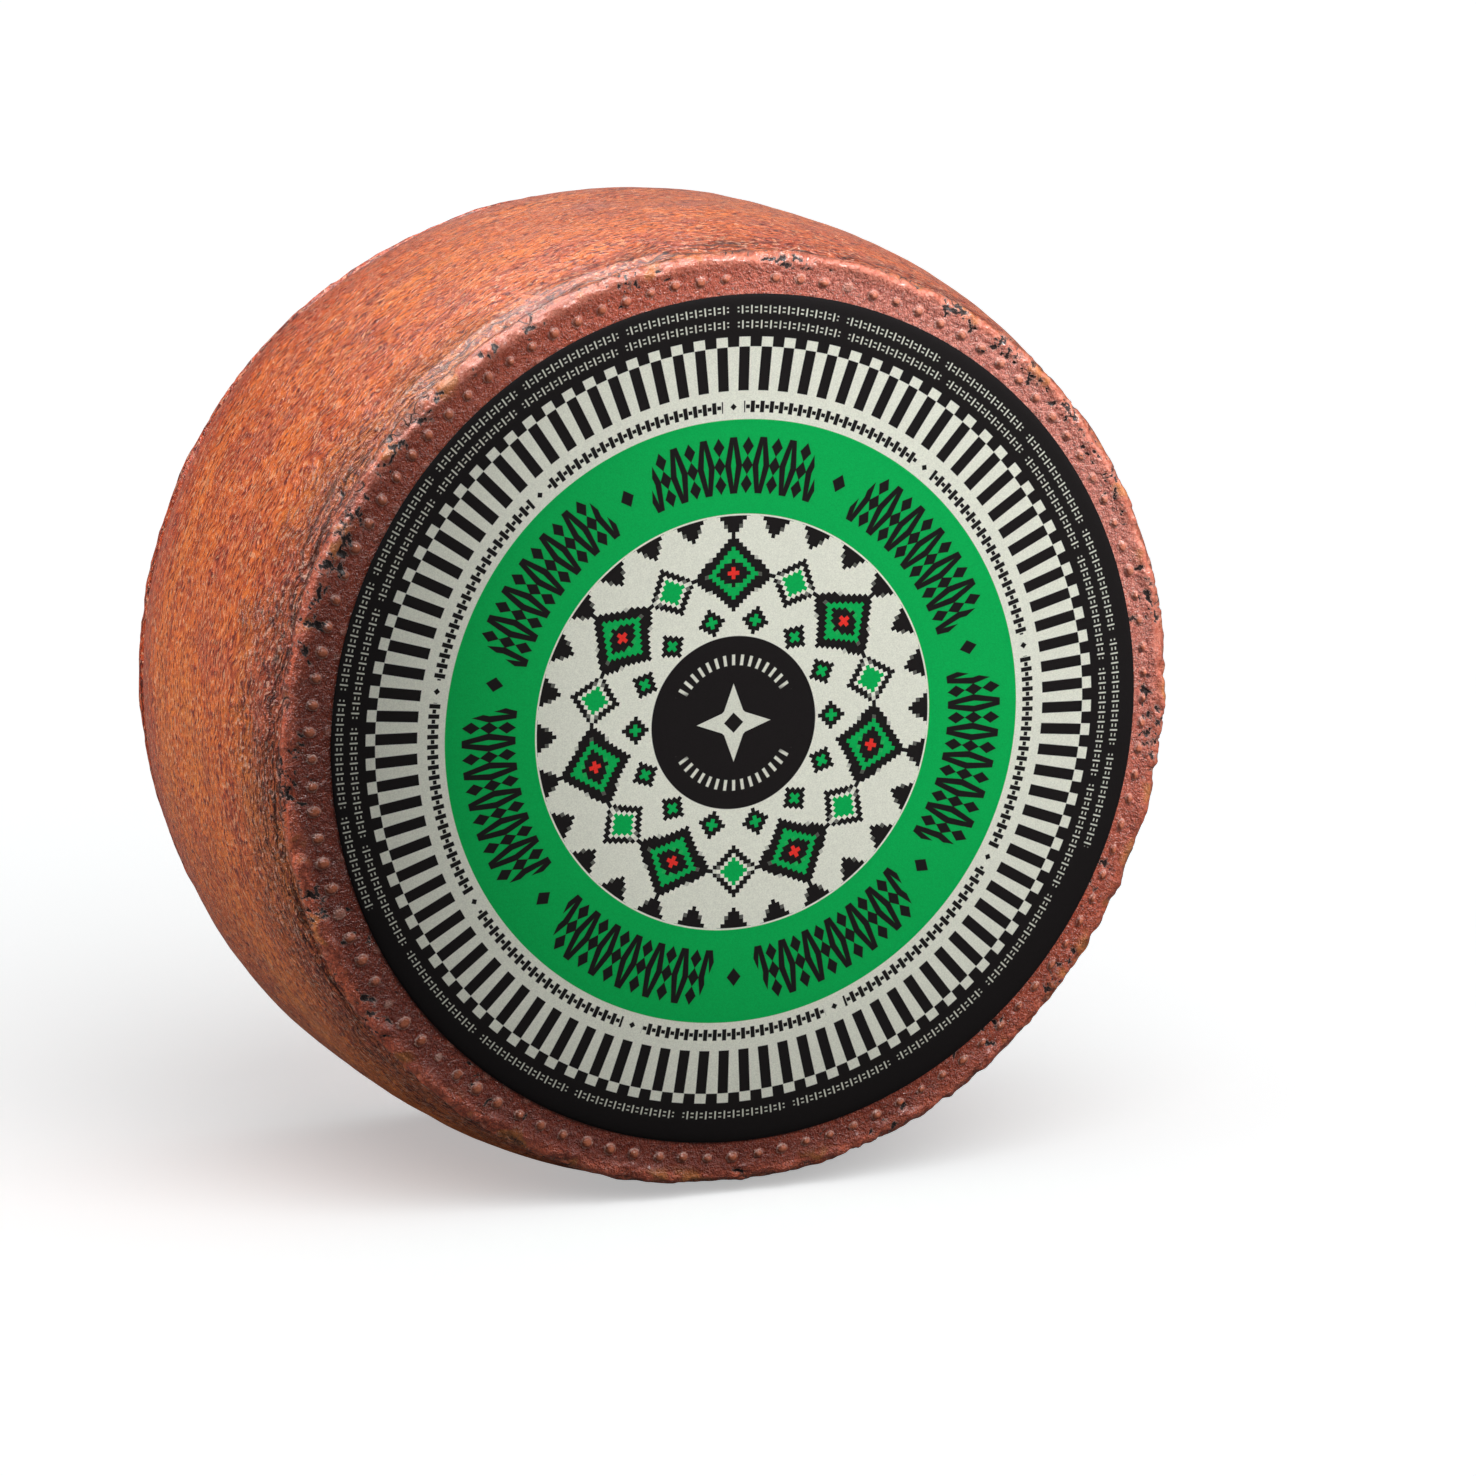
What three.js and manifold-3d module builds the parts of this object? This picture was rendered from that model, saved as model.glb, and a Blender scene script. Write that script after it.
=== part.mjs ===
// A whole pecorino: an uncut wheel of hard sheep's cheese with a rubbed brown rind and a round paper label.
// The wheel stands on its barrel-shaped side, on the small flat that its weight presses there.
// Its axis runs along Y, the labelled face looks along -Y, +Z is up, and lengths are in millimetres.
import * as THREE from "three";
import { mergeVertices } from "three/addons/utils/BufferGeometryUtils.js";
import Module from "manifold-3d";

// The wheel's body
const WHEEL_RADIUS = 100; // at the widest place of the side
const FRONT_HEIGHT = 45.5; // from the widest place to the level of the labelled face
const BACK_HEIGHT = 45.3; // and to the level of the other face
const BARREL_DROP = 6.4; // how much smaller the radius is at a face's level
const BARREL_POWER = 3; // how late along the side that drop comes
const REST_DEPTH = 1.9; // depth of the flat that the wheel stands on

// The rim of a face: a flat ring with mould nubs, a raised lip, and a groove where the side begins
const SEAT_RADIUS = 85; // of the raised seat under the label
const SEAT_SLOPE = 0.4; // width of the slope from the seat to the ring
const NUB_HEIGHT = 0.6;
const NUB_RADIUS = 1.2;
const NUB_TOP_RADIUS = 0.75;
const NUB_SIDES = 4;
const NUBS_PER_ROW = 105;
const NUB_ROWS = [86.7, 90.2]; // radii of the rows
const NUB_PHASE = 2.1; // angle of a row's first nub, in degrees from the top towards +X
const NUB_ROOT = 0.5; // how deep a nub is sunk into the face
const NUB_SHIFT = -0.5; // along X, of the rows' middle from the label's
const RING_END = 92; // where the ring turns up to the lip
const LIP_RADIUS = 1.4; // of the lip's round section
const LIP_CENTRE = { radius: 93.9, drop: 1.1 }; // drops are measured from the face's level
const LIP_ARC = { from: 130, to: -40, steps: 4 }; // in degrees, 90 points out of the face
const GROOVE = { radius: 94.9, drop: 3.3 };
const SIDE_DROP = 5.2; // where the plain barrel begins
const SIDE_STEPS = 8;

// Unevenness of a hand-turned wheel
const COLUMNS = NUBS_PER_ROW; // facets round the wheel, one for each nub
const LOBES = [
  { waves: 1, depth: 1.13, phase: 1.35 }, // the side lies off the label's middle
  { waves: 2, depth: 0.34, phase: 3.59 },
  { waves: 3, depth: 0.1, phase: 3.71 },
  { waves: 5, depth: 0.1, phase: 4.4 },
  { waves: 9, depth: 0.06, phase: 1.3 },
];
const CRAGS_PER_RIM = 34; // sunken places along a lip
const CRAG_DEPTH = { least: 0.15, most: 0.5 };
const CRAG_WIDTH = { least: 0.03, most: 0.09 }; // from the middle to an end, in radians
const CRAG_SCATTER = 0.9; // share of its own stretch of the lip in which a crag may lie
const CRAG_INWARD = 0.7; // share of its depth by which a crag also draws the lip inward
const SEED = 17;

// The label
const LABEL_RADIUS = 86.9;
const LABEL_THICKNESS = 0.4;
const LABEL_EDGE = 0.15; // how far its worn edge is rounded
const GLUE = 0.06; // between the label and its seat

const MERGE = 0.001; // nearer than this, two vertices are one
const LOOSE = 0.05; // for telling on which side of a size a vertex lies

const wasm = await Module();
wasm.setup();
const random = (n) => THREE.MathUtils.seededRandom(SEED + n);

// Turns a closed three.js geometry into a solid, and back.
function toSolid(geometry) {
  const bare = geometry.clone();
  bare.deleteAttribute("normal");
  bare.deleteAttribute("uv");
  const merged = mergeVertices(bare, MERGE);
  const mesh = new wasm.Mesh({
    numProp: 3,
    vertProperties: new Float32Array(merged.attributes.position.array),
    triVerts: new Uint32Array(merged.index.array),
  });
  return new wasm.Manifold(mesh);
}

function toGeometry(solid) {
  const mesh = solid.getMesh();
  const geometry = new THREE.BufferGeometry();
  const position = new THREE.BufferAttribute(mesh.vertProperties, 3);
  geometry.setAttribute("position", position);
  geometry.setIndex(new THREE.BufferAttribute(mesh.triVerts, 1));
  geometry.computeVertexNormals();
  return geometry;
}

// One face's outline from its middle to the groove: [radius, height] pairs.
function faceOutline(faceHeight, hasSeat) {
  const ring = faceHeight - NUB_HEIGHT;
  const outline = hasSeat
    ? [[0, faceHeight], [SEAT_RADIUS, faceHeight], [SEAT_RADIUS + SEAT_SLOPE, ring]]
    : [[0, ring]];
  outline.push([RING_END, ring]);
  for (let i = 0; i <= LIP_ARC.steps; i++) {
    const degrees = THREE.MathUtils.lerp(LIP_ARC.from, LIP_ARC.to, i / LIP_ARC.steps);
    const turn = THREE.MathUtils.degToRad(degrees);
    outline.push([
      LIP_CENTRE.radius + LIP_RADIUS * Math.cos(turn),
      faceHeight - LIP_CENTRE.drop + LIP_RADIUS * Math.sin(turn),
    ]);
  }
  outline.push([GROOVE.radius, faceHeight - GROOVE.drop]);
  return outline;
}

// The barrel-shaped side from groove to groove, the front having negative heights.
function sideOutline() {
  const start = SIDE_DROP - FRONT_HEIGHT;
  const end = BACK_HEIGHT - SIDE_DROP;
  return Array.from({ length: SIDE_STEPS }, (_, i) => {
    const height = THREE.MathUtils.lerp(start, end, i / (SIDE_STEPS - 1));
    const share = Math.abs(height) / (height < 0 ? FRONT_HEIGHT : BACK_HEIGHT);
    return [WHEEL_RADIUS - BARREL_DROP * share ** BARREL_POWER, height];
  });
}

// The whole outline, from the middle of the labelled face round the side to the middle of the back.
function wheelOutline() {
  const front = faceOutline(FRONT_HEIGHT, true).map(([radius, height]) => [radius, -height]);
  const back = faceOutline(BACK_HEIGHT, false).reverse();
  return [...front, ...sideOutline(), ...back].map(([radius, y]) => new THREE.Vector2(radius, y));
}

// The sunken places along one lip, each with its angle round the wheel, its depth and its width.
function cragsOfRim(rim) {
  return Array.from({ length: CRAGS_PER_RIM }, (_, i) => {
    const draw = 3 * (rim * CRAGS_PER_RIM + i);
    return {
      angle: ((i + CRAG_SCATTER * random(draw)) / CRAGS_PER_RIM) * 2 * Math.PI,
      depth: THREE.MathUtils.lerp(CRAG_DEPTH.least, CRAG_DEPTH.most, random(draw + 1)),
      width: THREE.MathUtils.lerp(CRAG_WIDTH.least, CRAG_WIDTH.most, random(draw + 2)),
    };
  });
}

const cragsInFront = cragsOfRim(0);
const cragsBehind = cragsOfRim(1);

function cragDepth(angle, crags) {
  let deepest = 0;
  for (const crag of crags) {
    const away = Math.atan2(Math.sin(angle - crag.angle), Math.cos(angle - crag.angle));
    const share = Math.abs(away) / crag.width;
    if (share < 1) deepest = Math.max(deepest, crag.depth * (1 - share * share));
  }
  return deepest;
}

// Moves the turned body's vertices to the uneven shape of a real wheel. The faces stay flat.
function roughen(geometry) {
  const position = geometry.attributes.position;
  for (let i = 0; i < position.count; i++) {
    const x = position.getX(i);
    const y = position.getY(i);
    const z = position.getZ(i);
    const radius = Math.hypot(x, z);
    if (radius < RING_END - LOOSE) continue;
    const angle = Math.atan2(x, z);
    let change = 0;
    for (const lobe of LOBES) change += lobe.depth * Math.cos(lobe.waves * angle + lobe.phase);
    const drop = (y < 0 ? FRONT_HEIGHT : BACK_HEIGHT) - Math.abs(y);
    const isLip = radius > RING_END + LOOSE && drop < SIDE_DROP - LOOSE;
    const sunk = isLip ? cragDepth(angle, y < 0 ? cragsInFront : cragsBehind) : 0;
    const scale = (radius + change - CRAG_INWARD * sunk) / radius;
    position.setXYZ(i, x * scale, y - sunk * Math.sign(y), z * scale);
  }
}

// Presses the lowest part of the side flat, where the wheel stands.
function pressFlat(geometry) {
  const position = geometry.attributes.position;
  const floor = REST_DEPTH - WHEEL_RADIUS;
  for (let i = 0; i < position.count; i++) {
    if (position.getZ(i) < floor) position.setZ(i, floor);
  }
}

// One mould nub on a face: a short tapered peg, sunk into the ring. Side is -1 in front and 1 behind.
function nub(row, index, side) {
  const height = NUB_HEIGHT + NUB_ROOT;
  const peg = new THREE.CylinderGeometry(NUB_TOP_RADIUS, NUB_RADIUS, height, NUB_SIDES);
  if (side < 0) peg.rotateX(Math.PI);
  const angle = THREE.MathUtils.degToRad(NUB_PHASE + (360 * index) / NUBS_PER_ROW);
  const radius = NUB_ROWS[row];
  const level = (side < 0 ? FRONT_HEIGHT : BACK_HEIGHT) - height / 2;
  peg.rotateY(angle);
  peg.translate(NUB_SHIFT + radius * Math.sin(angle), side * level, radius * Math.cos(angle));
  return toSolid(peg);
}

function makeWheel() {
  const turn = THREE.MathUtils.degToRad(NUB_PHASE) - Math.PI / COLUMNS; // a nub sits mid-facet
  const body = new THREE.LatheGeometry(wheelOutline(), COLUMNS, turn);
  roughen(body);
  pressFlat(body);
  const solids = [toSolid(body)];
  for (const side of [-1, 1]) {
    for (let row = 0; row < NUB_ROWS.length; row++) {
      for (let index = 0; index < NUBS_PER_ROW; index++) solids.push(nub(row, index, side));
    }
  }
  const rind = new THREE.MeshStandardMaterial({ color: 0x9c4526, roughness: 0.42, metalness: 0 });
  const whole = wasm.Manifold.union(solids).asOriginal().simplify(MERGE);
  const mesh = new THREE.Mesh(toGeometry(whole), rind);
  mesh.name = "wheel";
  return mesh;
}

// The paper label: a thin disc with a softened edge, glued to the seat.
function makeLabel() {
  const back = -FRONT_HEIGHT - GLUE;
  const front = back - LABEL_THICKNESS;
  const outline = [
    [0, front],
    [LABEL_RADIUS - 2 * LABEL_EDGE, front],
    [LABEL_RADIUS, front + LABEL_EDGE],
    [LABEL_RADIUS, back],
    [0, back],
  ].map(([r, h]) => new THREE.Vector2(r, h));
  const paper = new THREE.MeshStandardMaterial({ color: 0x231f20, roughness: 0.8, metalness: 0 });
  const mesh = new THREE.Mesh(new THREE.LatheGeometry(outline, COLUMNS), paper);
  mesh.name = "label";
  return mesh;
}

// The two pieces share the wheel's own frame; the origin then moves to the floor under their middle.
const cheese = new THREE.Group();
cheese.add(makeWheel(), makeLabel());
const bounds = new THREE.Box3().setFromObject(cheese);
const middle = bounds.getCenter(new THREE.Vector3());
cheese.position.set(-middle.x, -middle.y, -bounds.min.z);

const part = new THREE.Group();
part.add(cheese);
export default part;
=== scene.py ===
import math

import bpy
import numpy as np
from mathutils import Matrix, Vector


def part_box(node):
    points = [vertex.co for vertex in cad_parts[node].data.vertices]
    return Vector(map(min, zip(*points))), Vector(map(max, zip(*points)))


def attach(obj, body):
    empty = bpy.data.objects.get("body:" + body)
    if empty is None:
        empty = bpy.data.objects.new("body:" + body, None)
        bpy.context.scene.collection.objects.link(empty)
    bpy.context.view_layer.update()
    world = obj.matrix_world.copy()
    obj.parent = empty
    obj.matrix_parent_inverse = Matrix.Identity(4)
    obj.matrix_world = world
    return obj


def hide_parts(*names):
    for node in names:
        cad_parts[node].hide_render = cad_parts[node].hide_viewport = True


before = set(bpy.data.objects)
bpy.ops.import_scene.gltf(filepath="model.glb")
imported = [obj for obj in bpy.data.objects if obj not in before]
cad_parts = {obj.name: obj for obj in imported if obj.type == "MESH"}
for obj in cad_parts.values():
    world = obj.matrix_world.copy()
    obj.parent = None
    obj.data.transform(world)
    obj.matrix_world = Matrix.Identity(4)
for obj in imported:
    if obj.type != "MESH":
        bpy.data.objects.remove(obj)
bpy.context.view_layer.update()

# A whole pecorino on its side: an uncut wheel with a rubbed brown rind and a round printed paper label.
# Lengths are in millimetres until a mesh is made, and Blender's are in metres.
MM = 0.001
SEED = 2105
SEEDS = {"front": 100, "back": 300, "swell": 400, "wave": 500}  # added to it

# Places, worked out from the frame
label_low, label_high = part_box("label")
_, wheel_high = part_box("wheel")
GLUE = 0.06  # between the label and the face that it lies on
AXIS_X = (label_low.x + label_high.x) / 2 / MM
AXIS_Z = (label_low.z + label_high.z) / 2 / MM
FACE_Y = label_high.y / MM + GLUE
LABEL_RADIUS = (label_high.x - label_low.x) / 2 / MM
LABEL_THICKNESS = (label_high.y - label_low.y) / MM

# The wheel's body, as in the solids
WHEEL_RADIUS = 100.0
FRONT_HEIGHT = 45.5  # from the widest place of the side to the level of the labelled face
LIP_ABOVE_FACE = 0.3
WIDEST_Y = FACE_Y + FRONT_HEIGHT
BACK_HEIGHT = wheel_high.y / MM - LIP_ABOVE_FACE - WIDEST_Y
BARREL_DROP = 6.4
BARREL_POWER = 3.0
# Its unevenness: waves round the wheel, depth, and phase
LOBES = [(1, 1.13, 1.35), (2, 0.34, 3.59), (3, 0.1, 3.71), (5, 0.1, 4.4), (9, 0.06, 1.3)]
CIRCUMFERENCE = 2 * math.pi * WHEEL_RADIUS
wheel_centre = Vector((AXIS_X, WIDEST_Y, AXIS_Z)) * MM

# The rim's section from the face outwards: radius, and drop below the face's level
RIM = [
    (85.3, 0.55),
    (88.0, 0.62),
    (90.2, 0.62),
    (91.4, 0.54),
    (92.4, 0.34),
    (93.3, 0.14),
    (94.0, 0.16),
    (94.6, 0.40),
    (95.15, 0.82),
    (95.55, 1.40),
    (95.72, 2.15),
    (95.45, 2.95),
    (95.00, 3.70),
    (94.90, 4.50),
    (95.30, 5.50),
    (95.80, 6.50),
]
CREST_RADIUS = 94.5  # the lip's highest ring
LIP_NEARER = 0.9  # how far, at most, the front lip lies further in than the lobes put it
LIP_NEAREST = -65  # where that is, in degrees from the top towards +X
BACK_LIP_IN = 0.5  # and how far the back lip does, all round
UNDER_LABEL = 0.42  # least depth of the rim below the face's level where the label covers it

# The labelled face, which bends down under the label's edge: radius, and drop below its level
SEAT = [(80.0, 0.0), (83.5, 0.12), (84.9, 0.32)]
BACK_FACE_RINGS = (83.0, 78.0, 70.0, 60.0, 48.0, 36.0, 24.0, 12.0)  # radii
BACK_FACE_SWELL = 0.12  # height of the other face's slow unevenness

NUBS_PER_ROW = 105
NUB_PHASE = 2.1  # angle of a row's first nub, in degrees from the top towards +X
NUB_ROWS = [86.7, 90.2]
NUB_RADIUS = 1.12
NUB_HEIGHTS = [0.14, 0.70]  # the inner row is nearly worn away

# Where the labelled face's lip is nicked most, in degrees from the top towards +X
NICKED_LEFT = [-125, -108, -92, -76, -72, -66, -61, -51, -47, -44, -31, -15]
NICKED_RIGHT = [8, 30, 38, 44, 50, 57, 63, 80, 97, 128, 160]
LIP_PITS = 340
RING_PITS = 60
EDGE_PITS = 110  # on the side, close to the lip

# The label, which lies on the face and bends back with it
LABEL_BEND_START = 79.0
LABEL_BEND = 0.42  # how far the label's edge bends back over the face's rounded edge
LABEL_CURL = 0.20  # and how much further its last millimetre does
LABEL_SHIFT = 0.7  # how far right of the axis it lies
PRINT_SHIFT = -0.75  # and how far right of the axis its print lies
PAPER_THICKNESS = 0.22
PAPER_EDGE = 0.12  # how far the paper's edge is rounded
PAPER_WAVE = 0.03  # height of its slow unevenness

# How closely the meshes are divided
COLUMNS_PER_NUB = {"rim": 12, "side": 6, "face": 2}
LABEL_COLUMNS = 420
FRONT_ROW_STEP = 0.43  # between the front rim's rows
BACK_ROW_STEP = 0.62
SIDE_ROW_STEPS = (0.65, 2.9)  # between the side's rows, near the labelled face and far from it
SIDE_ROW_REACH = (8, 30)  # how far from the labelled face those steps are
SIDE_LAST_GAP = 2.5  # how far from the back rim the side's rows end

# Noise is made for distances along the skin from minus the start, over the span
NOISE_START = 60.0
NOISE_SPAN = 260.0


def smoothstep(low, high, x):
    t = np.clip((x - low) / (high - low), 0, 1)
    return t * t * (3 - 2 * t)


def noise(turns, along, cell_around, cell_along, seed):
    """Seeded noise from -1 to 1 that closes on itself after one turn. The cells are sized in millimetres."""
    columns = max(3, round(CIRCUMFERENCE / cell_around))
    u = turns * columns
    v = (along + NOISE_START) / cell_along
    rows = math.ceil(NOISE_SPAN / cell_along) + 2
    table = np.random.default_rng(SEED + seed).uniform(-1, 1, (columns, rows))
    column = np.floor(u).astype(int)
    row = np.floor(v).astype(int)
    fu = smoothstep(0, 1, u - column)
    fv = smoothstep(0, 1, v - row)
    left = table[column % columns, row] * (1 - fv) + table[column % columns, row + 1] * fv
    right = table[(column + 1) % columns, row] * (1 - fv) + table[(column + 1) % columns, row + 1] * fv
    return left * (1 - fu) + right * fu


def layered(turns, along, cell_around, cell_along, seed, layers=3):
    """Several sizes of noise on top of each other, each half as large and half as strong as the last."""
    total = 0
    for i in range(layers):
        shrink = 0.5**i
        total = total + shrink * noise(turns, along, cell_around * shrink, cell_along * shrink, seed + i)
    return total


def curve_through(points, per_span):
    """A smooth curve through the points, as an array of rows."""
    p = np.array([points[0], *points, points[-1]], float)
    out = []
    for i in range(1, len(p) - 2):
        for t in np.linspace(0, 1, per_span, endpoint=False):
            a, b, c, d = p[i - 1 : i + 3]
            square = 2 * a - 5 * b + 4 * c - d
            cube = 3 * b - a - 3 * c + d
            out.append(0.5 * (2 * b + (c - a) * t + square * t**2 + cube * t**3))
    out.append(p[-2])
    return np.array(out)


def evenly(outline, step):
    """The same curve with its points a step apart, in millimetres."""
    lengths = np.concatenate([[0], np.cumsum(np.hypot(*np.diff(outline, axis=0).T))])
    count = max(2, round(lengths[-1] / step) + 1)
    at = np.linspace(0, lengths[-1], count)
    return np.stack([np.interp(at, lengths, outline[:, k]) for k in range(2)], 1)


def rim_outline(level, step):
    """Rim points as radius and height from the widest place, for a face at that level."""
    rim = curve_through(RIM, 8)
    outline = np.stack([rim[:, 0], level - rim[:, 1]], 1)
    return evenly(outline, step)


def barrel_radius(height):
    share = abs(height) / (FRONT_HEIGHT if height < 0 else BACK_HEIGHT)
    return WHEEL_RADIUS - BARREL_DROP * share**BARREL_POWER


def side_outline():
    """The barrel's points, closer together near the labelled face."""
    height = RIM[-1][1] - FRONT_HEIGHT
    end = BACK_HEIGHT - RIM[-1][1]
    reach = [distance - FRONT_HEIGHT for distance in SIDE_ROW_REACH]
    points = []
    while height < end - SIDE_LAST_GAP:
        height += np.interp(height, reach, SIDE_ROW_STEPS)
        points.append([barrel_radius(height), height])
    return np.array(points)


def normals_of(outline):
    """Outward directions along an outline that runs from the front face to the back."""
    run = np.gradient(outline, axis=0)
    run /= np.hypot(*run.T)[:, None]
    return np.stack([run[:, 1], -run[:, 0]], 1)


# Relief: how far each place of the skin stands out from its plain outline, in millimetres

def lobes(turns):
    """How far the side stands out from a true circle."""
    angle = turns * 2 * math.pi
    return sum(depth * np.cos(waves * angle + phase) for waves, depth, phase in LOBES)


def nubs(turns, radius, seed):
    """Height of the mould nubs on a face, and how much of a standing nub each place is."""
    rng = np.random.default_rng(SEED + seed)
    height = np.zeros_like(turns)
    amount = np.zeros_like(turns)
    for row_radius, row_height in zip(NUB_ROWS, NUB_HEIGHTS):
        place = turns * NUBS_PER_ROW - NUB_PHASE / 360 * NUBS_PER_ROW
        index = np.round(place).astype(int) % NUBS_PER_ROW
        shift_around = rng.normal(0, 0.12, NUBS_PER_ROW)[index]
        shift_out = rng.normal(0, 0.14, NUBS_PER_ROW)[index]
        size = rng.uniform(0.82, 1.12, NUBS_PER_ROW)[index]
        tall = np.clip(rng.normal(0.88, 0.30, NUBS_PER_ROW), 0.1, 1.25)[index]
        pitch = 2 * math.pi * row_radius / NUBS_PER_ROW
        across = (place - np.round(place)) * pitch - shift_around
        out = radius - row_radius - shift_out
        away = np.hypot(across, out) / (NUB_RADIUS * size)
        dome = np.clip(1 - away**2, 0, None) ** 0.45
        moat = np.exp(-(((away - 1.30) / 0.26) ** 2))
        height = height + tall * row_height * (dome - 0.30 * moat)
        standing = smoothstep(0.12, 0.40, tall * row_height)
        amount = np.maximum(amount, standing * smoothstep(1.1, 0.55, away))
    return height, amount


def pits(turns, along, count, centre, spread, seed, clusters=None):
    """Nicks, pits and short cracks, in loose clusters: how deep each place is, and how dark."""
    rng = np.random.default_rng(SEED + seed)
    depth = np.zeros_like(turns)
    dark = np.zeros_like(turns)
    if clusters is None:
        clusters = rng.uniform(0, 1, count // 4)
    for _ in range(count):
        angle = (rng.choice(clusters) + rng.normal(0, 0.006)) % 1
        place = centre + rng.normal(0, spread)
        size = 0.22 + 0.70 * rng.uniform() ** 1.6
        stretch = rng.uniform(1.0, 4.2)
        lean = rng.uniform(0, math.pi)
        deep = rng.uniform(0.25, 0.85)
        across = ((turns[0] - angle + 0.5) % 1 - 0.5) * CIRCUMFERENCE
        near = np.abs(across) < size * stretch * 1.2
        dx = across[near][None, :] + 0.25 * np.sin(3.1 * along[:, near] + 9 * angle)
        dy = along[:, near] - place + 0.25 * np.sin(2.7 * across[near][None, :] + 5 * angle)
        a = (dx * math.cos(lean) + dy * math.sin(lean)) / (size * stretch)
        b = (dy * math.cos(lean) - dx * math.sin(lean)) / size
        reach = np.hypot(a, b)
        bowl = np.clip(1 - reach**2, 0, None)
        depth[:, near] = np.maximum(depth[:, near], deep * bowl**1.5)
        dark[:, near] = np.maximum(dark[:, near], smoothstep(0.85, 0.35, reach) * min(1, deep * 2))
    return depth, dark


def relief(turns, outline, side, seed):
    """Relief over a grid whose rows follow the outline, and how much ring, lip, nub and pit each place is."""
    radius = np.repeat(outline[:, :1], turns.shape[1], 1)
    height = np.repeat(outline[:, 1:], turns.shape[1], 1)
    drop = (FRONT_HEIGHT if side < 0 else BACK_HEIGHT) - side * height
    along = np.where(drop < 1.0, radius, CREST_RADIUS + 1.2 + drop)
    ring = smoothstep(95.4, 93.4, radius) * smoothstep(1.5, 1.0, drop)
    lip = np.exp(-(((radius - CREST_RADIUS) / 1.5) ** 2)) * smoothstep(3.0, 1.2, drop)
    top = np.clip(ring + lip, 0, 1)
    outside = smoothstep(0.8, 2.4, drop)
    near_lip = outside * smoothstep(13.0, 4.0, drop)

    out = 0.30 * layered(turns, height, 42, 24, seed, 3) * outside
    out += 0.10 * layered(turns, height, 9, 4, seed + 10, 3) * outside
    swayed = height + 1.5 * noise(turns, height, 20, 9, seed + 21)
    out += 0.34 * layered(turns, swayed, 14, 1.9, seed + 20, 2) * near_lip
    out += 0.14 * layered(turns, along, 7, 3, seed + 30, 3) * top * (1 - 0.4 * ring)
    at_top = smoothstep(0.2, 0.9, np.cos(turns * 2 * math.pi - 0.3))
    rugged = 1.0 - 0.5 * at_top if side < 0 else 0.3  # the lip is smoother at the top, and behind
    out += 0.48 * layered(turns, along * 0, 11, 5, seed + 40, 4) * lip * rugged
    out += 0.60 * layered(turns, along, 3.4, 1.8, seed + 45, 2) * np.clip(lip * 1.3, 0, 1) * rugged
    out += (0.17 - 0.07 * ring) * noise(turns, along, 1.3, 1.1, seed + 50) * top

    nub_height, nub = nubs(turns, radius, seed + 60)
    out += nub_height * ring
    nub *= ring
    pit = np.zeros_like(out)
    if drop.min() < 1:  # the rims alone have pits
        nicked = np.array(NICKED_LEFT + NICKED_RIGHT) / 360 if side < 0 else None
        lip_pits, lip_dark = pits(turns, along, LIP_PITS, CREST_RADIUS - 0.9, 1.2, seed + 70, nicked)
        ring_pits, ring_dark = pits(turns, along, RING_PITS, 90.0, 2.0, seed + 71)
        edge_pits, edge_dark = pits(turns, along, EDGE_PITS, CREST_RADIUS + 3.8, 1.3, seed + 72, nicked)
        beside = 1.0 if side < 0 else 0.0  # the back's outer edge is whole
        out -= np.maximum(np.maximum(lip_pits, ring_pits * (1 - 0.6 * nub)), edge_pits * beside)
        pit = np.maximum(np.maximum(lip_dark, ring_dark * (1 - nub)), edge_dark * beside)
    return out, np.stack([ring, lip, nub, pit], -1)


# Meshes

def drawn_in(turns, height, side):
    """How far a lip lies further in than the lobes put it: in front on the left, behind all round."""
    if side > 0:
        return BACK_LIP_IN * smoothstep(6.0, 2.0, BACK_HEIGHT - height)
    leftward = np.clip(np.cos(turns * 2 * math.pi - math.radians(LIP_NEAREST)), 0, 1)
    return LIP_NEARER * leftward**2 * smoothstep(8.0, 2.0, FRONT_HEIGHT + height)


def ring_rows(outline, columns_per_nub, seed, side):
    """A grid of vertices round the wheel, one row for each point of the outline, with its amounts."""
    columns = NUBS_PER_ROW * columns_per_nub
    turns = np.repeat(np.arange(columns)[None, :] / columns, len(outline), 0)
    out, amounts = relief(turns, outline, side, seed)
    normal = normals_of(outline)
    shift = lobes(turns) - drawn_in(turns, outline[:, 1:], side)
    radius = outline[:, :1] + out * normal[:, :1] + shift * smoothstep(88.5, 92.5, outline[:, :1])
    height = outline[:, 1:] + out * normal[:, 1:]
    angle = turns * 2 * math.pi
    place = np.stack([
        AXIS_X + radius * np.sin(angle),
        WIDEST_Y + height,
        np.maximum(AXIS_Z + radius * np.cos(angle), 0),
    ], -1)
    return place, amounts


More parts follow.
